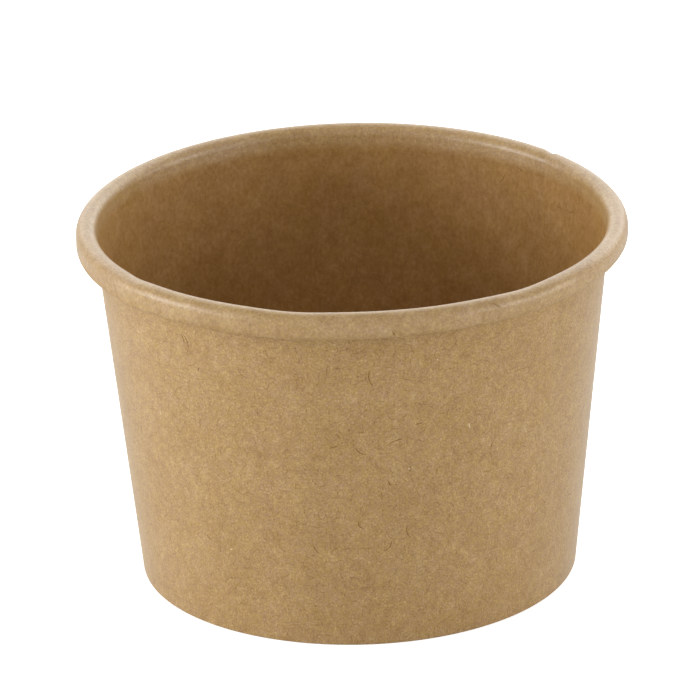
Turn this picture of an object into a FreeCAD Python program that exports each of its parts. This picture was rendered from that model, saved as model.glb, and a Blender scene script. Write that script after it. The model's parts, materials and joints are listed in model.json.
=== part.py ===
# Paper ice cream tub, made of two pieces of brown paperboard.
# The side wall is one sheet: wrapped to a cone, lapped along a side seam, rolled over at the rim and
# folded in at the foot. The base is a disc with a turned-down skirt, which the folded foot grips.
# Lengths are millimetres. The tub's axis is Z and +Z is up. The origin is the middle of the foot, on
# the surface that the tub stands on. The seam is at the back right of the tub, looking along +Y.
import FreeCAD
import Part

import math
import os

# Overall sizes
RIM_DIAMETER = 90.0  # across the outside of the rolled rim
FOOT_DIAMETER = 71.7  # across the outside of the foot
TUB_HEIGHT = 61.0  # from the foot to the top of the rim

# Paperboard
WALL_BOARD = 0.45  # thickness of the side wall
BASE_BOARD = 0.35  # thickness of the base disc
SEAL_FILM = 0.03  # lining film, melted between sealed faces

# Rolled rim
RIM_WIDTH = 3.4  # from the wall's inner face to the rim's outer face
RIM_DEPTH = 4.35  # from the top of the rim to its underside
LOWER_BEND = 0.5  # radius inside the roll's lower edge, where the seam doubles the board
TUCK_BEND = 0.1  # the same, where the board's end turns up inside the roll
TUCK_LENGTH = 1.8  # of that end
TUCK_GAP = 0.1  # between it and the wall, where the seam doubles the wall

# Foot
HEM_HEIGHT = 5.2  # how far the board is folded up inside the foot
FOLD_RADIUS = 0.05  # inside the fold's two corners
BASE_RECESS = 6.4  # from the foot up to the underside of the base disc
BASE_CORNER_RADIUS = 0.6  # inside the bend from disc to skirt
SKIRT_GAP = 0.2  # between the skirt's end and the bottom of the fold

# Side seam
SEAM_ANGLE = 38.0  # degrees from +X to the edge of the inner lap
LAP_WIDTH = 7.0  # how far the wall's two ends overlap, measured round the rim
RAMP_WIDTH = 3.0  # over which the outer end climbs on to the inner one
RAMP_STEPS = 3
PRESSED_HEIGHT = 6.0  # below this the seam is pressed thinner, into the foot

AXIS = FreeCAD.Vector(0, 0, 1)
ORIGIN = FreeCAD.Vector(0, 0, 0)


def point(radius, height):
    """A point of the half section, which is drawn in the XZ plane."""
    return FreeCAD.Vector(radius, 0, height)


# The wall leans so that its outer face runs from the foot's outer edge into the rim's roll.
ROLL_RADIUS = (RIM_WIDTH - WALL_BOARD) / 2
FACE_RADIUS = (RIM_DIAMETER - WALL_BOARD) / 2
ROLL_CENTRE_RADIUS = FACE_RADIUS - ROLL_RADIUS
ROLL_CENTRE_HEIGHT = TUB_HEIGHT - WALL_BOARD / 2 - ROLL_RADIUS
OUTWARD = ROLL_CENTRE_RADIUS - FOOT_DIAMETER / 2
TO_ROLL = math.hypot(OUTWARD, ROLL_CENTRE_HEIGHT)
LEAN = math.atan2(OUTWARD, ROLL_CENTRE_HEIGHT) - math.asin((ROLL_RADIUS - WALL_BOARD / 2) / TO_ROLL)


def beside_wall(height, distance):
    """The point at a height on the line that runs beside the wall's outer face, outside it by a distance."""
    return point(FOOT_DIAMETER / 2 + height * math.tan(LEAN) + distance / math.cos(LEAN), height)


def to_the_right(start, end):
    """The unit vector to the right of the way from start to end, in the XZ plane."""
    way = (end - start).normalize()
    return FreeCAD.Vector(way.z, 0, -way.x)


def moved_aside(path, offsets):
    """A path's corners, each moved to the right by its offset, square to the path's own runs."""
    moved = []
    for i, corner in enumerate(path):
        before = to_the_right(path[max(i - 1, 0)], path[max(i, 1)])
        after = to_the_right(path[min(i, len(path) - 2)], path[min(i + 1, len(path) - 1)])
        moved.append(corner + (before + after) * (offsets[i] / (1 + before.dot(after))))
    return moved


def rounded(corners, radii):
    """Edges through the corners, with each corner rounded to its radius."""
    edges = []
    last = corners[0]
    for before, corner, after, radius in zip(corners, corners[1:], corners[2:], radii[1:]):
        back = (before - corner).normalize()
        on = (after - corner).normalize()
        if radius <= 0:
            edges.append(Part.makeLine(last, corner))
            last = corner
            continue
        half_turn = (math.pi - back.getAngle(on)) / 2
        reach = radius * math.tan(half_turn)
        start = corner + back * reach
        end = corner + on * reach
        middle = corner + (back + on).normalize() * (radius / math.cos(half_turn) - radius)
        if last.distanceToPoint(start) > 1e-6:
            edges.append(Part.makeLine(last, start))
        edges.append(Part.Arc(start, middle, end).toShape())
        last = end
    edges.append(Part.makeLine(last, corners[-1]))
    return edges


def board_outline(path, radii, left, right):
    """The closed outline of a board that follows a path, from its left offsets to its right ones."""
    sides = []
    for offsets in (left, right):
        side_radii = []
        for i, radius in enumerate(radii):
            turn = 0
            if radius > 0:
                on = (path[i + 1] - path[i]).normalize()
                turn = math.copysign(1, on.dot(to_the_right(path[i - 1], path[i])))
            side_radii.append(radius - turn * offsets[i])
        corners = moved_aside(path, offsets)
        sides.append((corners, rounded(corners, [r if radii[i] else 0 for i, r in enumerate(side_radii)])))
    (left_corners, left_edges), (right_corners, right_edges) = sides
    far_end = Part.makeLine(left_corners[-1], right_corners[-1])
    near_end = Part.makeLine(right_corners[0], left_corners[0])
    return Part.Wire(left_edges + [far_end] + right_edges[::-1] + [near_end])


def wall_outline(inner_step, outer_step):
    """The side wall's outline, with its inner and outer faces stepped outwards above the foot."""
    half = WALL_BOARD / 2
    hem_line = -(WALL_BOARD + 2 * SEAL_FILM + BASE_BOARD) - half
    top = TUB_HEIGHT - half
    under = TUB_HEIGHT - RIM_DEPTH + half
    tuck = beside_wall(under, WALL_BOARD + TUCK_GAP + half)
    up_the_wall = point(math.sin(LEAN), math.cos(LEAN))
    fold = FOLD_RADIUS + half
    turn_up = TUCK_BEND + WALL_BOARD + half
    room = FACE_RADIUS - tuck.x - turn_up * math.tan((math.pi / 2 + LEAN) / 2)
    bend = min(LOWER_BEND + WALL_BOARD + half, room)
    corners = [
        (beside_wall(HEM_HEIGHT, hem_line), 0, False),
        (beside_wall(half, hem_line), fold, False),
        (beside_wall(half, -half), fold, False),
        (beside_wall(PRESSED_HEIGHT, -half), 0, True),
        (beside_wall(top, -half), ROLL_RADIUS, True),
        (point(FACE_RADIUS, top), ROLL_RADIUS, True),
        (point(FACE_RADIUS, under), bend, True),
        (tuck, turn_up, True),
        (tuck + up_the_wall * TUCK_LENGTH, 0, True),
    ]
    path = [corner for corner, _, _ in corners]
    radii = [radius for _, radius, _ in corners]
    inner = [-half + inner_step * stepped for _, _, stepped in corners]
    outer = [half + outer_step * stepped for _, _, stepped in corners]
    return board_outline(path, radii, inner, outer)


def turned(shape, angle):
    """A copy of the shape, turned about the tub's axis."""
    copy = shape.copy()
    copy.rotate(ORIGIN, AXIS, angle)
    return copy


def swept(outline, start, end):
    """The solid that an outline sweeps about the tub's axis, from one angle to another."""
    return turned(Part.Face(outline), start).revolve(ORIGIN, AXIS, end - start)


def make_side_wall():
    """The wrapped sheet: plain wall, the double lap, and the ramp by which the outer end climbs on to it."""
    lap = math.degrees(LAP_WIDTH / (RIM_DIAMETER / 2))
    ramp = math.degrees(RAMP_WIDTH / (RIM_DIAMETER / 2))
    plain_wall = swept(wall_outline(0, 0), SEAM_ANGLE + ramp, SEAM_ANGLE + 360 - lap)
    double_wall = swept(wall_outline(0, WALL_BOARD), SEAM_ANGLE - lap, SEAM_ANGLE)
    steps = []
    for i in range(RAMP_STEPS + 1):
        share = i / RAMP_STEPS
        step = WALL_BOARD * (1 - share)
        steps.append(turned(wall_outline(step, step), SEAM_ANGLE + ramp * share))
    climbing_wall = Part.makeLoft(steps, True, True)
    return plain_wall.fuse([double_wall, climbing_wall]).removeSplitter()


def make_base_disc():
    """The disc with its turned-down skirt, which lies between the wall and the folded foot."""
    half = BASE_BOARD / 2
    skirt_line = -(WALL_BOARD + SEAL_FILM) - half
    height = BASE_RECESS + half
    skirt_end = WALL_BOARD + SKIRT_GAP
    path = [point(0, height), beside_wall(height, skirt_line), beside_wall(skirt_end, skirt_line)]
    radii = [0, BASE_CORNER_RADIUS + half, 0]
    return swept(board_outline(path, radii, [-half] * 3, [half] * 3), 0, 360)


def main():
    os.makedirs("parts", exist_ok=True)
    for node, make in {"side_wall": make_side_wall, "base_disc": make_base_disc}.items():
        shape = make()
        box = shape.optimalBoundingBox()
        print(
            f"{node}: valid {shape.isValid()}, solids {len(shape.Solids)}, volume {shape.Volume:.1f} mm3,"
            f" {box.XLength:.2f} x {box.YLength:.2f} x {box.ZLength:.2f} mm"
        )
        shape.exportStep(f"parts/{node}.step")


main()
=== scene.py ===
"""Looks of a paper ice cream tub: a rolled, lapped and folded side wall of brown board, and its base."""

import json
import math

import bpy
import numpy as np
from mathutils import Matrix, Vector


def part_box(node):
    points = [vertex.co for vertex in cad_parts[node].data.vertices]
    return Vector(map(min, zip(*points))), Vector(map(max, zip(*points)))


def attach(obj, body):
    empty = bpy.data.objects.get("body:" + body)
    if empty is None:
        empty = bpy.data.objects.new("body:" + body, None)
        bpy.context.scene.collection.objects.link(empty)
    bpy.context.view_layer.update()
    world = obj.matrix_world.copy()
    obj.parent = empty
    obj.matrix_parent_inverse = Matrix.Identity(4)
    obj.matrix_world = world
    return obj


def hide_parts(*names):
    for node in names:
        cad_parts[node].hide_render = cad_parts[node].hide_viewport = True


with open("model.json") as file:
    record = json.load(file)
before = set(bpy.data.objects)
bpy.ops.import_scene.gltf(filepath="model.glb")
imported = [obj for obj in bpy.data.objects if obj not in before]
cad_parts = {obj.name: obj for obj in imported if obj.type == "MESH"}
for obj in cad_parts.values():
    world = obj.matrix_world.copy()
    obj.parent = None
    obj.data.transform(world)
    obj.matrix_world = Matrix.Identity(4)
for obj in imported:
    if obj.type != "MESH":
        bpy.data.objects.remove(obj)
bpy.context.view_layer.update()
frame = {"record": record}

MM = 0.001


def mount(name):
    """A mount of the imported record."""
    return next(m for m in frame["record"]["mounts"] if m["name"] == name)


# Sizes in millimetres
RIM_RADIUS = mount("lid_rim")["dims"]["r_mm"]
TUB_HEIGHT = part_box("side_wall")[1].z / MM
FOOT_RADIUS = 35.75
BOARD = 0.45

# Rolled rim: its bends are measured to the middle of the board
RIM_WIDTH = 3.44
RIM_DEPTH = 4.35
LOWER_BEND = 1.22
TUCK_BEND = 0.775
TUCK_LENGTH = 1.8
TUCK_GAP = 0.55

# Folded foot, with its bends to the middle of the board
HEM_HEIGHT = 5.2
HEM_GAP = 0.41
HEM_BEND = 0.275

# Base
BASE_BOARD = 0.35
BASE_HEIGHT = 6.4
BASE_BEND = 0.775
HUB_RADIUS = 0.01
SKIRT_END = 0.65
FILM = 0.03

# Side seam, in degrees from +X, and how far its lap steps the board out
INNER_EDGE = 38.0
OUTER_EDGE = 29.1
RAMP = 4.5
LAP_STEP = 0.32
PRESSED_HEIGHT = 6.0

# The tub is a little out of round. Each wave has its height in millimetres and its highest angle.
RIM_OVAL = (0.165, -35)
RIM_THREE = (0.068, -37)
RIM_WAVE = (0.12, 80)
FOOT_OVAL = (0.25, 2)
FOOT_SHIFT = (0.08, 7)
BEAD_SAG = (0.46, 180)

# Each bend of the rim: its angle and width in degrees, and how far it goes out and up in millimetres
RIM_BENDS = [
    (-12, 25, 0.15, 0.0),
    (216, 4, 0.0, -0.2),
    (257, 8, 0.0, -0.22),
    (309, 7, 0.0, -0.25),
]

# Camera, fitted to the photo's outlines: distance in metres, turns in degrees, lens and sensor in
# millimetres, and the photo's pixel at which the target on the tub's axis is seen
CAMERA_DISTANCE = 1.063
CAMERA_ELEVATION = 22.65
CAMERA_ROLL = 1.351
CAMERA_HEIGHT_OF_TARGET = 27 * MM
LENS = 330.6
SENSOR = 36.0
PHOTO_PIXELS = 700
TARGET_PIXEL = (355.8, 407.2)

# Meshes: columns round the side wall and the base. At each cut edge of the seam are two close pairs of
# columns, so many degrees from it, and no others nearer than the gap. The foot's fold ends a few points of
# the path past its lowest one. Edges that turn by more than the sharp angle are drawn sharp.
COLUMNS = 480
BASE_COLUMNS = 240
EDGE_PAIRS = (-0.12, -0.04, 0.04, 0.12)
COLUMN_GAP = 0.2
FOLD_POINTS = 3
SHARP_ANGLE = 38.0

# Maps: the radius that degrees are turned into millimetres with, and the bake map's margin
SHEET_RADIUS = 40.0
BAKE_MARGIN = 0.004

# The board's two faces. Of each pair, the first value is for the wall and the second for the rolled rim.
# Colours are in linear light.
COATED_FACE = {
    "seed": 3.0,
    # The coated face's rim colour, paler and greyer than its wall colour on the same board, is a painted
    # sheen and painted light on the rolled rim.
    "colours": ((0.362, 0.195, 0.056), (0.425, 0.266, 0.104)),
    "fine": (0.34, 0.72),
    "grain": (0.46, 0.24),
    "soft": (1.25, 1.1),
    "hairs": 0.7,
    "roughness": (0.65, 0.5),
    "specular": 0.4,
    "coat": (0.0, 0.8),
    "sheen": 0.0,
}
BARE_FACE = {
    "seed": 50.0,
    "colours": ((0.413, 0.254, 0.094), (0.413, 0.254, 0.094)),
    "fine": (0.95, 0.95),
    "grain": (0.34, 0.34),
    "soft": (0.9, 0.9),
    "hairs": 1.6,
    "roughness": (0.7, 0.7),
    "specular": 0.55,
    "coat": (0.0, 0.0),
    "sheen": 0.5,
}

# How red, green and blue follow each kind of change in the board
FINE_TONE = (1.0, 1.3, 2.15)
SOFT_TONE = (1.0, 1.4, 2.75)
HUE = (0.43, 0.61, -0.67)

# Noises on the board, with features about 1 / scale millimetres wide: scale, stretch up the board, detail,
# and what is added to the face's seed
NOISES = {
    "fine": (3.2, 1.15, 2.0, 0),
    "grain": (1.5, 1.4, 1.0, 5),
    "mottle": (0.45, 1.2, 1.0, 10),
    "cloud": (0.13, 1.0, 1.0, 15),
    "near hue": (1.9, 1.0, 2.0, 25),
    "wide hue": (0.2, 1.0, 1.0, 30),
}
# Strokes on the board: the size of the cells, length and width in millimetres, the share of the cells that
# have a stroke, its curl in millimetres, and what is added to the face's seed
STROKES = {
    "felt": (0.9, 0.9, 0.07, 0.8, 0.25, 0),
    "pale felt": (1.1, 1.0, 0.08, 0.7, 0.3, 20),
    "hairs": (2.4, 2.2, 0.09, 0.8, 1.6, 40),
    "short hairs": (1.6, 1.5, 0.08, 0.8, 1.3, 60),
}
# How much each of them changes the board, times the face's own measure
GAINS = {
    "felt": -0.18,
    "pale felt": 0.16,
    "hairs": -0.34,
    "short hairs": -0.26,
    "mottle": 0.26,
    "cloud": 0.20,
    "near hue": 0.7,
    "wide hue": 0.18,
}
NOISE_MEAN = 0.5
FELT_MEAN = 0.05
LEAST_STROKE = 0.4  # the shortest and the faintest, as a share of the whole

# Where the rim's look begins, in millimetres: above the middle of the roll, out from the wall's inner
# face, and for its film above the underside
# On the coated face the rim's look includes its paler colour, a painted sheen and painted light.
RIM_START = (-2.2, -0.7)
RIM_SIDE = (0.0, 0.8)
FILM_START = (0.3, 1.7)

# The board's relief in millimetres, and its gloss
RELIEF = 0.12
RELIEF_STRENGTH = 0.3
ROUGHNESS_BY_TONE = -0.1
COAT_ROUGHNESS = 0.37
SHEEN_ROUGHNESS = 0.4

# Loose fibres on the wall's outer face: angle in degrees, height and length in millimetres, slope in
# degrees and bow in millimetres
DARK_FIBRES = [
    (228.5, 52.4, 2.0, -72, 0.10),
    (229.4, 52.0, 2.5, -70, -0.30),
    (232.1, 47.5, 0.8, -110, 0.05),
    (273.4, 48.7, 3.1, -79, 0.45),
    (284.6, 40.1, 1.2, -3, 0.35),
    (264.5, 36.5, 1.4, 22, 0.05),
    (265.8, 38.5, 1.2, -56, 0.05),
    (268.3, 39.6, 0.4, -72, 0.0),
    (279.0, 37.2, 2.5, 18, -0.20),
    (270.6, 35.7, 2.2, -40, 0.25),
    (277.6, 29.6, 1.1, -67, 0.10),
    (270.3, 22.3, 1.7, -64, 0.30),
    (282.1, 20.6, 2.6, -78, 0.45),
    (277.2, 18.1, 2.4, 52, 0.50),
    (281.3, 17.9, 0.4, -80, 0.0),
    (259.3, 17.7, 1.9, -56, 0.15),
    (303.3, 33.6, 1.2, 74, 0.05),
    (229.7, 16.7, 1.4, -34, 0.30),
]
PALE_FIBRES = [
    (297.0, 38.1, 1.1, -72, 0.05),
    (217.2, 36.9, 0.6, -60, 0.15),
    (236.4, 15.6, 0.5, 20, 0.05),
    (282.2, 32.0, 0.3, 80, 0.0),
    (288.6, 51.0, 0.3, 10, 0.0),
]
# The same on the wall's inner face
INNER_FIBRES = [
    (26.3, 53.8, 2.1, 25, 0.25),
    (31.7, 53.3, 1.6, 3, -0.10),
    (51.3, 54.6, 1.9, 60, 0.10),
    (46.2, 57.1, 1.7, -22, -0.10),
]
# Marks on the rolled rim: angle, way up round the roll from its outer face, length, slope and bow
RIM_MARKS = [
    (263.5, 0.9, 0.35, 20, 0.0),
    (278.0, -1.4, 0.9, -60, 0.05),
    (300.3, 0.85, 1.5, -45, 0.10),
]

# Fibres in millimetres: across, the ridge above the board and the edges below it, and steps along them
FIBRE_WIDTH = 0.19
FIBRE_RISE = 0.03
FIBRE_SINK = 0.01
FIBRE_STEPS = 8

# Colours of the fibres in linear light
DARK_FIBRE = (0.225, 0.122, 0.04)
INNER_FIBRE = (0.25, 0.135, 0.042)
RIM_MARK = (0.27, 0.155, 0.055)
PALE_FIBRE = (0.72, 0.60, 0.42)

# The floor's half width in metres and its grey, what the camera sees added to it, and the surround's light
FLOOR_REACH = 6.0
FLOOR_GREY = 0.8
FLOOR_LIFT = 0.72
WORLD_STRENGTH = 0.47

# Each lamp: its direction from the tub as azimuth and elevation in degrees, its size in metres, and its
# power in watts. Azimuth 0 is in front of the tub, and 90 is on its right. All are at one distance, in
# metres, from a point on the tub's axis.
LAMPS = {
    "left": (-82, 12, 0.6, 8.6),
    "low left": (-56, 7, 0.35, 0.9),
    "front left": (-42, 27, 1.3, 1.65),
    "front right": (42, 27, 1.3, 1.2),
    "low right": (56, 7, 0.35, 1.3),
    "right": (81, 12, 0.6, 4.2),
    "back left": (-140, 25, 0.7, 1.2),
    "back right": (140, 25, 0.7, 3.0),
    "back": (180, 32, 1.3, 7.4),
}
LAMP_DISTANCE = 1.2
LAMP_TARGET_HEIGHT = 30 * MM


def new_object(name, data):
    """A new object in the scene."""
    ob = bpy.data.objects.new(name, data)
    bpy.context.scene.collection.objects.link(ob)
    return ob


def way_on(start, end):
    """The unit vector from start to end."""
    way = np.subtract(end, start)
    return way / np.hypot(*way)


def right_of(way):
    """The unit vector to the right of a way, in the plane of radius and height."""
    return np.array([way[1], -way[0]])


class Path:
    """A path in the plane of radius and height: its points, each with the unit vector to its right."""

    def __init__(self, corners, radii, run=2.5, turn=9.0):
        self.points = []
        self.rights = []
        last = np.array(corners[0], float)
        for before, corner, after, radius in zip(corners, corners[1:], corners[2:], radii[1:]):
            into, out = way_on(before, corner), way_on(corner, after)
            angle = math.atan2(into[1] * out[0] - into[0] * out[1], into @ out)
            reach = radius * math.tan(abs(angle) / 2)
            start = corner - into * reach
            if math.dist(last, start) > 1e-4:
                self.add_run(last, start, run)
            self.add_bend(start, into, angle, radius, turn)
            last = corner + out * reach
        self.add_run(last, corners[-1], run)
        self.points = np.array(self.points)
        self.rights = np.array(self.rights)

    def add(self, point, right):
        if self.points and math.dist(point, self.points[-1]) < 1e-5:
            return
        self.points.append(np.array(point, float))
        self.rights.append(right)

    def add_run(self, start, end, run):
        """Points along a straight run."""
        count = max(1, math.ceil(math.dist(start, end) / run))
        right = right_of(way_on(start, end))
        for i in range(count + 1):
            self.add(np.add(start, np.subtract(end, start) * i / count), right)

    def add_bend(self, start, into, angle, radius, turn):
        """Points round a bend to the right, or to the left where its angle is negative."""
        side = math.copysign(1, angle)
        centre = start + right_of(into) * radius * side
        steps = max(2, math.ceil(math.degrees(abs(angle)) / turn))
        x, y = right_of(into)
        for i in range(steps + 1):
            c, s = math.cos(angle * i / steps), math.sin(angle * i / steps)
            right = np.array([x * c + y * s, y * c - x * s])
            self.add(centre - right * radius * side, right)


# The wall leans so that its outer face runs from the foot's outer edge into the rim's roll.
ROLL = RIM_WIDTH / 2
OUTWARD = RIM_RADIUS - ROLL - FOOT_RADIUS
UPWARD = TUB_HEIGHT - ROLL
LEAN = math.atan2(OUTWARD, UPWARD) - math.asin((ROLL - BOARD) / math.hypot(OUTWARD, UPWARD))


def beside_wall(height, distance):
    """A point beside the wall's outer face, outside it by a distance."""
    return np.array([FOOT_RADIUS + height * math.tan(LEAN) + distance / math.cos(LEAN), height])


def wall_path():
    """The middle of the side wall's board, from the end of the foot's fold to the end of the roll."""
    half = BOARD / 2
    hem = -(BOARD + HEM_GAP) - half
    top = TUB_HEIGHT - half
    under = TUB_HEIGHT - RIM_DEPTH + half
    face = RIM_RADIUS - half
    tuck = beside_wall(under, TUCK_GAP + half)
    corners = {
        "end of the fold": (beside_wall(HEM_HEIGHT, hem), 0),
        "foot, inside": (beside_wall(half, hem), HEM_BEND),
        "foot, outside": (beside_wall(half, -half), HEM_BEND),
        "rim, inside": (beside_wall(top, -half), ROLL - half),
        "rim, outside": (np.array([face, top]), ROLL - half),
        "rim, below": (np.array([face, under]), LOWER_BEND),
        "tuck": (tuck, TUCK_BEND),
        "end of the roll": (tuck + np.array([math.sin(LEAN), math.cos(LEAN)]) * TUCK_LENGTH, 0),
    }
    places, radii = zip(*corners.values())
    return Path(places, radii)


def smooth(x):
    """0 below 0, 1 above 1, and a soft step between."""
    x = np.clip(x, 0, 1)
    return x * x * (3 - 2 * x)


def columns():
    """The angles of the side wall's columns, in degrees, with close pairs at the seam's two cut edges."""
    even = np.arange(COLUMNS) * 360 / COLUMNS
    edges = [edge + off for edge in (INNER_EDGE, OUTER_EDGE) for off in EDGE_PAIRS]
    near = [abs(even - edge) < COLUMN_GAP for edge in edges]
    return np.sort(np.concatenate([even[~np.any(near, axis=0)], edges]))


def lap_steps(angles):
    """How far the board's inner and outer faces are stepped outwards at each angle."""
    climb = np.where(angles > INNER_EDGE, 1 - smooth((angles - INNER_EDGE) / RAMP), 0)
    inner = LAP_STEP * climb
    outer = np.where((angles > OUTER_EDGE) & (angles <= INNER_EDGE), LAP_STEP, inner)
    return inner, outer


def wave(angles, times, height, highest):
    """A wave round the tub, with so many crests, one of them at its highest angle."""
    return height * np.cos(np.radians(times * (angles - highest)))


def out_of_round(angles, height):
    """How far the tub is bent outwards and upwards from a true cone, in millimetres."""
    share = np.clip(height / TUB_HEIGHT, 0, 1)
    rim = wave(angles, 2, *RIM_OVAL) + wave(angles, 3, *RIM_THREE)
    foot = wave(angles, 2, *FOOT_OVAL) + wave(angles, 1, *FOOT_SHIFT)
    upwards = wave(angles, 2, *RIM_WAVE) * share
    for middle, width, out, up in RIM_BENDS:
        away = np.mod(angles - middle + 180, 360) - 180
        bump = np.exp(-((away / width) ** 2))
        rim = rim + out * bump
        upwards = upwards + up * bump * share**2
    return rim * share + foot * (1 - share), upwards


def lay_map(me, name, left, right, low, high):
    """A map on a mesh of four-sided faces, from the places of each face's sides."""
    corners = np.stack([left, low, right, low, right, high, left, high], -1)
    me.uv_layers.new(name=name).data.foreach_set("uv", corners.ravel())


def lay_bake_map(me, ends, rows, i, k):
    """The bake map, with each half of the tub in a strip of its own."""
    middle = (len(ends) - 1) // 2
    half = (i >= middle).astype(float)
    start = np.where(half > 0, ends[middle], ends[0])
    span = np.where(half > 0, ends[-1] - ends[middle], ends[middle] - ends[0])
    inner = 1 - 2 * BAKE_MARGIN
    lay_map(
        me,
        "OFBake",
        BAKE_MARGIN + inner * (ends[i] - start) / span,
        BAKE_MARGIN + inner * (ends[i + 1] - start) / span,
        (half + BAKE_MARGIN + inner * rows[k] / rows[-1]) / 2,
        (half + BAKE_MARGIN + inner * rows[k + 1] / rows[-1]) / 2,
    )


def lay_sheet_map(me, ends, rows, starts, i, k):
    """The sheet map, in millimetres along the board from its cut edge and up it."""
    along = math.radians(1) * SHEET_RADIUS
    first = np.mod(ends[i] - starts[k], 360)
    lay_map(me, "sheet", first * along, (first + ends[i + 1] - ends[i]) * along, rows[k], rows[k + 1])


def swept_mesh(name, sections, angles, starts, materials, material_of):
    """A closed mesh through one closed section per angle, with its two maps.

    The sheet map starts at the cut edge whose angle is given in starts. Without starts the board is
    flat, and the map gives millimetres along X and Y.
    """
    count, size = sections.shape[:2]
    a = np.radians(angles)[:, None]
    x, y, z = sections[..., 0] * np.cos(a), sections[..., 0] * np.sin(a), sections[..., 1]
    points = np.stack([x, y, z], -1).reshape(-1, 3) * MM
    i, k = np.meshgrid(np.arange(count), np.arange(size), indexing="ij")
    i2, k2 = (i + 1) % count, (k + 1) % size
    faces = np.stack([i * size + k, i2 * size + k, i2 * size + k2, i * size + k2], -1).reshape(-1, 4)
    me = bpy.data.meshes.new(name)
    me.from_pydata(points.tolist(), [], faces.tolist())
    for material in materials:
        me.materials.append(material)
    me.polygons.foreach_set("material_index", np.tile(material_of, count).astype(np.int32))

    section = sections[0]
    lengths = np.hypot(*np.diff(np.vstack([section, section[:1]]), axis=0).T)
    rows = np.concatenate([[0], np.cumsum(lengths)])
    ends = np.append(angles, angles[0] + 360)
    lay_bake_map(me, ends, rows, i, k)
    if starts is None:
        flat = me.uv_layers.new(name="sheet")
        flat.data.foreach_set("uv", (points[faces.ravel(), :2] / MM).ravel())
    else:
        lay_sheet_map(me, ends, rows, starts, i, k)

    me.polygons.foreach_set("use_smooth", np.ones(len(faces), bool))
    me.set_sharp_from_angle(angle=math.radians(SHARP_ANGLE))
    me.validate()
    return new_object(name, me)


def bare_faces(count):
    """1 for each face of a section on the board's bare side and cut edges, 0 on its coated side."""
    bare = np.zeros(2 * count)
    bare[count - 1 :] = 1
    return bare


def wall_sections(path, angles):
    """The side wall's section at each angle: stepped at the lap, hanging at the roll and out of round."""
    heights = path.points[:, 1]
    order = np.arange(len(heights))
    full = np.where(order < np.argmin(heights) + FOLD_POINTS, 0, smooth(heights / PRESSED_HEIGHT))
    inner, outer = lap_steps(angles)
    half = BOARD / 2
    left = path.points[None] + path.rights[None] * (-half + inner[:, None] * full)[..., None]
    right = path.points[None] + path.rights[None] * (half + outer[:, None] * full)[..., None]
    sections = np.concatenate([left, right[:, ::-1]], axis=1)
    at_top = order > np.argmax(heights)
    outside_roll = np.concatenate([at_top, at_top[::-1]])
    hang = smooth((TUB_HEIGHT - ROLL - sections[..., 1]) / (RIM_DEPTH - ROLL)) * outside_roll
    sections[..., 1] -= wave(angles[:, None], 1, *BEAD_SAG) * hang
    out, up = out_of_round(angles[:, None], sections[..., 1])
    sections[..., 0] += out
    sections[..., 1] += up
    return sections


def make_side_wall(materials):
    """The wrapped, rolled and folded sheet, with its lapped seam."""
    path = wall_path()
    angles = columns()
    bare = bare_faces(len(path.points))
    starts = np.where(bare > 0, OUTER_EDGE, INNER_EDGE)
    ob = swept_mesh("side_wall_board", wall_sections(path, angles), angles, starts, materials, bare)
    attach(ob, "root")
    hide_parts("side_wall")


def make_base(materials):
    """The base disc with its turned-down skirt."""
    half = BASE_BOARD / 2
    skirt = -(BOARD + FILM) - half
    height = BASE_HEIGHT + half
    corners = [np.array([HUB_RADIUS, height]), beside_wall(height, skirt), beside_wall(SKIRT_END, skirt)]
    path = Path(corners, [0, BASE_BEND, 0])
    angles = np.arange(BASE_COLUMNS) * 360 / BASE_COLUMNS
    section = np.concatenate([path.points - path.rights * half, (path.points + path.rights * half)[::-1]])
    sections = np.repeat(section[None], len(angles), axis=0)
    out, _ = out_of_round(angles[:, None], sections[..., 1])
    sections[..., 0] += out * sections[..., 0] / FOOT_RADIUS
    ob = swept_mesh("base_disc_board", sections, angles, None, materials, bare_faces(len(path.points)))
    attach(ob, "root")
    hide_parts("base_disc")


def bent_point(angle, radius, height):
    """A point at an angle, moved as the tub is out of round, in metres."""
    out, up = out_of_round(angle, height)
    a = math.radians(angle)
    return ((radius + out) * math.cos(a) * MM, (radius + out) * math.sin(a) * MM, (height + up) * MM)


def on_wall(angle, height, lift):
    """A point on the wall's outer face, lifted off it."""
    return bent_point(angle, beside_wall(height, lift)[0], height)


def on_inner_wall(angle, height, lift):
    """A point on the wall's inner face, lifted off it."""
    return bent_point(angle, beside_wall(height, -BOARD - lift)[0], height)


def on_rim(angle, climb, lift):
    """A point on the rolled rim, so far up round the roll from its outer face, and lifted off it."""
    theta = max(climb, 0) / ROLL
    radius = RIM_RADIUS - ROLL + (ROLL + lift) * math.cos(theta)
    height = TUB_HEIGHT - ROLL + (ROLL + lift) * math.sin(theta) + min(climb, 0)
    return bent_point(angle, radius, height)


def fibre_points(fibre, place, side):
    """A fibre's points: at each step along its bowed line, one on its ridge and one on either edge."""
    angle, height, length, slope, bow = fibre
    c, s = math.cos(math.radians(slope)), math.sin(math.radians(slope))
    points = []
    for i in range(FIBRE_STEPS + 1):
        share = 2 * i / FIBRE_STEPS - 1
        along, across = share * length / 2, bow * (share**2 - 0.5)
        half = FIBRE_WIDTH / 2 * math.sqrt(max(0.0, 1 - share**4))
        for off, lift in ((-half, -FIBRE_SINK), (0, FIBRE_RISE), (half, -FIBRE_SINK)):
            x, z = along * c - (across + off) * s, along * s + (across + off) * c
            turn = side * math.degrees(x / SHEET_RADIUS)
            points.append(place(angle + turn, height + z, lift))
    return points


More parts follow.
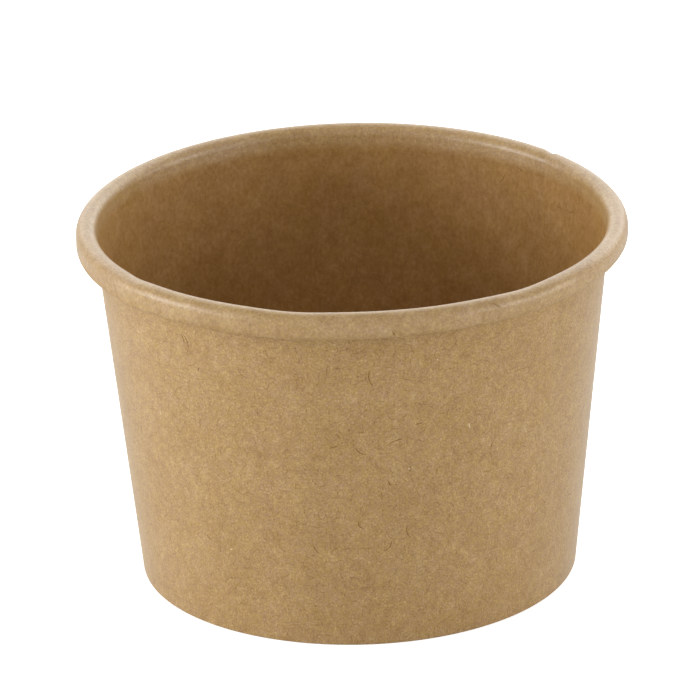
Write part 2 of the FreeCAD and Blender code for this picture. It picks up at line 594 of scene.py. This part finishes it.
def make_fibres(name, fibres, material, place=on_wall, side=1):
    """Fibres that lie on the board: each a low ridge, pointed at both ends.

    Side is 1 on faces that look outwards and -1 on those that look inwards.
    """
    points, faces = [], []
    for fibre in fibres:
        first = len(points)
        points += fibre_points(fibre, place, side)
        for i in range(FIBRE_STEPS):
            for j in range(2):
                k = first + 3 * i + j
                faces.append((k, k + 3, k + 4, k + 1))
    me = bpy.data.meshes.new(name)
    me.from_pydata(points, [], faces)
    me.materials.append(material)
    ob = new_object(name, me)
    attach(ob, "root")


class Tree:
    """A new material's nodes."""

    def __init__(self, name):
        self.material = bpy.data.materials.new(name)
        self.material.use_nodes = True
        self.tree = self.material.node_tree
        self.tree.nodes.clear()

    def add(self, kind, links=(), **values):
        """A new node with its settings, and its inputs linked or set by name."""
        return add_node(self.tree, kind, links, **values)

    def maths(self, kind, *inputs):
        """The result of a Math node."""
        return self.add("ShaderNodeMath", dict(enumerate(inputs)), operation=kind).outputs[0]

    def around(self, value, middle, gain):
        """A value's difference from its middle, times a gain."""
        return self.maths("MULTIPLY", self.maths("SUBTRACT", value, middle), gain)

    def between(self, share, low, high):
        """The value at a share of the way from low to high."""
        return self.maths("MULTIPLY_ADD", share, high - low, low)

    def ramp(self, value, start, end):
        """A value's way from start to end, as 0 to 1."""
        links = {"Value": value, "From Min": start, "From Max": end}
        return self.add("ShaderNodeMapRange", links).outputs["Result"]

    def total(self, *values):
        """The sum of several values."""
        result = values[0]
        for value in values[1:]:
            result = self.maths("ADD", result, value)
        return result


def add_node(tree, kind, links=(), **values):
    """A new node with its settings, and its inputs linked or set by name."""
    node = tree.nodes.new(kind)
    for key, value in values.items():
        setattr(node, key, value)
    for name, source in dict(links).items():
        if hasattr(source, "links"):
            tree.links.new(source, node.inputs[name])
        else:
            node.inputs[name].default_value = source
    return node


def sheet_noise(t, sheet, face, kind):
    """One of the noises on the board."""
    scale, stretch, detail, seed = NOISES[kind]
    place = (0, 0, face["seed"] + seed)
    at = t.add("ShaderNodeMapping", {"Vector": sheet, "Location": place, "Scale": (1, 1 / stretch, 1)})
    links = {"Vector": at.outputs["Vector"], "Scale": scale, "Detail": detail}
    return t.add("ShaderNodeTexNoise", links).outputs["Fac"]


def stroke_cells(t, sheet, cell, seed):
    """The place along and across the stroke of each cell, and two random values of the cell."""
    at = t.add("ShaderNodeMapping", {"Vector": sheet, "Location": (seed, seed * 0.7, 0)}).outputs["Vector"]
    cells = t.add("ShaderNodeTexVoronoi", {"Vector": at, "Scale": 1 / cell}, voronoi_dimensions="2D")
    from_middle = t.add("ShaderNodeVectorMath", {0: at, 1: cells.outputs["Position"]}, operation="SUBTRACT")
    chance = t.add("ShaderNodeSeparateColor", {"Color": cells.outputs["Color"]}).outputs
    turn = t.maths("MULTIPLY", chance["Red"], math.tau)
    links = {"Vector": from_middle.outputs["Vector"], "Angle": turn}
    turned = t.add("ShaderNodeVectorRotate", links, rotation_type="Z_AXIS").outputs["Vector"]
    place = t.add("ShaderNodeSeparateXYZ", {"Vector": turned}).outputs
    return place["X"], place["Y"], chance["Green"], chance["Blue"]


def strokes(t, sheet, face, kind):
    """One kind of short curved strokes on the board, as a mask with random depth."""
    cell, length, width, share, curl, seed = STROKES[kind]
    x, y, rank, shape = stroke_cells(t, sheet, cell, face["seed"] + seed)
    bend = t.around(shape, 0.5, 2 * curl / length)
    bow = t.maths("MULTIPLY", bend, t.maths("MULTIPLY", x, x))
    off = t.maths("ABSOLUTE", t.maths("ADD", y, bow))
    line = t.maths("SMOOTH_MIN", t.maths("SUBTRACT", 1.0, t.maths("DIVIDE", off, width)), 1.0, 0.1)
    reach = t.maths("MULTIPLY", length / 2, t.maths("ADD", LEAST_STROKE, shape))
    end = t.maths("MULTIPLY", t.maths("SUBTRACT", reach, t.maths("ABSOLUTE", x)), 4 / length)
    end = t.maths("MINIMUM", t.maths("MAXIMUM", end, 0.0), 1.0)
    there = t.maths("GREATER_THAN", share, rank)
    mask = t.maths("MULTIPLY", t.maths("MAXIMUM", line, 0.0), t.maths("MULTIPLY", end, there))
    depth = t.maths("ADD", LEAST_STROKE, t.maths("MULTIPLY", rank, (1 - LEAST_STROKE) / share))
    return t.maths("MULTIPLY", mask, depth)


def rim_masks(t):
    """Two soft masks: 1 on the whole rolled rim, and 1 on the rim without its underside."""
    place = t.add("ShaderNodeTexCoord").outputs["Object"]
    flat = t.add("ShaderNodeVectorMath", {0: place, 1: (1, 1, 0)}, operation="MULTIPLY").outputs["Vector"]
    radius = t.add("ShaderNodeVectorMath", {0: flat}, operation="LENGTH").outputs["Value"]
    height = t.add("ShaderNodeSeparateXYZ", {"Vector": place}).outputs["Z"]

    def step(value, start, offsets):
        return t.ramp(value, *((start + offset) * MM for offset in offsets))

    inside = step(height, TUB_HEIGHT - ROLL, RIM_START)
    outside = step(radius, RIM_RADIUS - RIM_WIDTH, RIM_SIDE)
    # The rim mask also lays down the coated rim's paler colour, a painted sheen and painted light.
    rim = t.maths("MAXIMUM", inside, outside)
    return rim, t.maths("MULTIPLY", rim, step(height, TUB_HEIGHT - RIM_DEPTH, FILM_START))


def board_tone(t, sheet, face, rim):
    """The board's fine and soft changes of tone: felted fibres, soft clouds and loose hairs."""
    fine_gain = t.between(rim, *face["fine"])
    soft_gain = t.between(rim, *face["soft"])

    def noise(kind, gain):
        return t.around(sheet_noise(t, sheet, face, kind), NOISE_MEAN, gain)

    def felt(kind):
        return t.around(strokes(t, sheet, face, kind), FELT_MEAN, t.maths("MULTIPLY", fine_gain, GAINS[kind]))

    def hairs(kind):
        return t.maths("MULTIPLY", strokes(t, sheet, face, kind), GAINS[kind] * face["hairs"])

    fine_tone = t.total(
        noise("fine", fine_gain),
        noise("grain", t.between(rim, *face["grain"])),
        felt("felt"),
        felt("pale felt"),
        hairs("hairs"),
        hairs("short hairs"),
    )
    soft_tone = t.total(
        noise("mottle", t.maths("MULTIPLY", soft_gain, GAINS["mottle"])),
        noise("cloud", t.maths("MULTIPLY", soft_gain, GAINS["cloud"])),
    )
    return fine_tone, soft_tone


def board_hue(t, sheet, face, rim):
    """The board's changes of hue, from yellowish to greyish."""
    near = sheet_noise(t, sheet, face, "near hue")
    wide = sheet_noise(t, sheet, face, "wide hue")
    near_gain = t.maths("MULTIPLY", t.between(rim, *face["fine"]), GAINS["near hue"])
    wide_gain = t.maths("MULTIPLY", t.between(rim, *face["soft"]), GAINS["wide hue"])
    return t.total(t.around(near, NOISE_MEAN, near_gain), t.around(wide, NOISE_MEAN, wide_gain))


def board_colour(t, levels, fine_tone, soft_tone, hue):
    """The board's colour: red, green and blue each follow tone and hue in their own measure."""
    bands = []
    for level, by_fine, by_soft, by_hue in zip(levels, FINE_TONE, SOFT_TONE, HUE):
        change = t.total(
            t.maths("MULTIPLY", fine_tone, by_fine),
            t.maths("MULTIPLY", soft_tone, by_soft),
            t.maths("MULTIPLY", hue, by_hue),
        )
        bands.append(t.maths("MULTIPLY", t.maths("EXPONENT", change), level))
    return t.add("ShaderNodeCombineColor", dict(zip(("Red", "Green", "Blue"), bands))).outputs["Color"]


def paper_material(name, face):
    """Brown board: felted fibres and soft clouds, in colour, gloss and relief."""
    t = Tree(name)
    sheet = t.add("ShaderNodeUVMap", uv_map="sheet").outputs["UV"]
    rim, film = rim_masks(t)
    fine_tone, soft_tone = board_tone(t, sheet, face, rim)
    # Colour goes from the wall's to the rim's; on the coated face the rim's paler colour is a painted sheen
    # and painted light.
    levels = [t.between(rim, *pair) for pair in zip(*face["colours"])]
    colour = board_colour(t, levels, fine_tone, soft_tone, board_hue(t, sheet, face, rim))
    height = t.total(fine_tone, soft_tone)
    bump = t.add("ShaderNodeBump", {"Height": height, "Strength": RELIEF_STRENGTH, "Distance": RELIEF * MM})
    roughness = t.between(rim, *face["roughness"])
    shader = t.add(
        "ShaderNodeBsdfPrincipled",
        {
            "Base Color": colour,
            "Roughness": t.total(roughness, t.maths("MULTIPLY", fine_tone, ROUGHNESS_BY_TONE)),
            "Normal": bump.outputs["Normal"],
            "Specular IOR Level": face["specular"],
            "Coat Weight": t.between(film, *face["coat"]),
            "Coat Roughness": COAT_ROUGHNESS,
            "Coat Normal": bump.outputs["Normal"],
            "Sheen Weight": face["sheen"],
            "Sheen Roughness": SHEEN_ROUGHNESS,
        },
    )
    t.add("ShaderNodeOutputMaterial", {"Surface": shader.outputs["BSDF"]})
    return t.material


def fibre_material(name, colour):
    """A bark or bleached fibre, which changes a little in colour along its length."""
    t = Tree(name)
    place = t.add("ShaderNodeTexCoord").outputs["Object"]
    change = t.add("ShaderNodeTexNoise", {"Vector": place, "Scale": 1800.0, "Detail": 1.0}).outputs["Fac"]
    shade = t.maths("ADD", 0.6, t.maths("MULTIPLY", change, 0.8))
    bands = [t.maths("MULTIPLY", shade, level) for level in colour]
    mixed = t.add("ShaderNodeCombineColor", dict(zip(("Red", "Green", "Blue"), bands)))
    shader = t.add(
        "ShaderNodeBsdfPrincipled",
        {"Base Color": mixed.outputs["Color"], "Roughness": 0.8, "Specular IOR Level": 0.1},
    )
    t.add("ShaderNodeOutputMaterial", {"Surface": shader.outputs["BSDF"]})
    return t.material


def make_floor():
    """A white floor that the camera sees as white, darker only in the tub's shadow."""
    me = bpy.data.meshes.new("floor")
    corners = [(x * FLOOR_REACH, y * FLOOR_REACH, 0) for x, y in ((-1, -1), (1, -1), (1, 1), (-1, 1))]
    me.from_pydata(corners, [], [(0, 1, 2, 3)])
    ob = new_object("floor", me)
    t = Tree("floor_white")
    seen = t.add("ShaderNodeLightPath").outputs["Is Camera Ray"]
    strength = t.maths("MULTIPLY", seen, FLOOR_LIFT)
    diffuse = t.add("ShaderNodeBsdfDiffuse", {"Color": (FLOOR_GREY, FLOOR_GREY, FLOOR_GREY, 1)}).outputs[0]
    lift = t.add("ShaderNodeEmission", {"Color": (1, 1, 1, 1), "Strength": strength}).outputs[0]
    both = t.add("ShaderNodeAddShader", {0: diffuse, 1: lift})
    t.add("ShaderNodeOutputMaterial", {"Surface": both.outputs[0]})
    me.materials.append(t.material)


def make_world():
    """A soft white surround, which the camera sees as pure white."""
    world = bpy.data.worlds.new("surround")
    bpy.context.scene.world = world
    world.use_nodes = True
    tree = world.node_tree
    tree.nodes.clear()
    ray = add_node(tree, "ShaderNodeLightPath")
    strength = add_node(
        tree,
        "ShaderNodeMapRange",
        {"Value": ray.outputs["Is Camera Ray"], "To Min": WORLD_STRENGTH, "To Max": 1.0},
    )
    links = {"Color": (1, 1, 1, 1), "Strength": strength.outputs[0]}
    light = add_node(tree, "ShaderNodeBackground", links)
    add_node(tree, "ShaderNodeOutputWorld", {"Surface": light.outputs[0]})


def make_lamps():
    """Square soft lamps, each turned to the tub."""
    for name, (azimuth, elevation, size, power) in LAMPS.items():
        lamp = bpy.data.lights.new(name, "AREA")
        lamp.size = size
        lamp.energy = power
        ob = new_object(name, lamp)
        a, e = math.radians(azimuth), math.radians(elevation)
        way = Vector((math.sin(a) * math.cos(e), -math.cos(a) * math.cos(e), math.sin(e)))
        ob.location = way * LAMP_DISTANCE + Vector((0, 0, LAMP_TARGET_HEIGHT))
        ob.rotation_euler = way.to_track_quat("Z", "Y").to_euler()


def make_camera():
    """The photo's view. The lens axis goes through the middle of the frame, so nothing is shifted."""
    e, roll = math.radians(CAMERA_ELEVATION), math.radians(CAMERA_ROLL)
    back = Vector((0, -math.cos(e), math.sin(e)))
    level, steep = Vector((1, 0, 0)), Vector((0, math.sin(e), math.cos(e)))
    right = level * math.cos(roll) - steep * math.sin(roll)
    up = steep * math.cos(roll) + level * math.sin(roll)
    target = Vector((0, 0, CAMERA_HEIGHT_OF_TARGET))
    eye = target + back * CAMERA_DISTANCE
    pixel = CAMERA_DISTANCE * SENSOR / LENS / PHOTO_PIXELS
    middle = PHOTO_PIXELS / 2
    aim = target - right * (TARGET_PIXEL[0] - middle) * pixel + up * (TARGET_PIXEL[1] - middle) * pixel
    away = (eye - aim).normalized()
    across = (right - away * right.dot(away)).normalized()
    data = bpy.data.cameras.new("camera")
    data.lens = LENS
    data.sensor_width = SENSOR
    data.clip_start = 0.05
    data.clip_end = 20
    ob = new_object("camera", data)
    turn = Matrix((across, away.cross(across), away)).transposed().to_4x4()
    ob.matrix_world = Matrix.Translation(eye) @ turn
    bpy.context.scene.camera = ob


def main():
    bpy.context.scene.view_settings.view_transform = "Standard"
    coated = paper_material("coated_board", COATED_FACE)
    bare = paper_material("bare_board", BARE_FACE)
    make_side_wall([coated, bare])
    make_base([coated, bare])
    make_fibres("dark_fibres", DARK_FIBRES, fibre_material("dark_fibre", DARK_FIBRE))
    inner = fibre_material("inner_fibre", INNER_FIBRE)
    make_fibres("inner_fibres", INNER_FIBRES, inner, on_inner_wall, -1)
    make_fibres("rim_marks", RIM_MARKS, fibre_material("rim_mark", RIM_MARK), on_rim)
    make_fibres("pale_fibres", PALE_FIBRES, fibre_material("pale_fibre", PALE_FIBRE))
    make_floor()
    make_world()
    make_lamps()
    make_camera()


main()
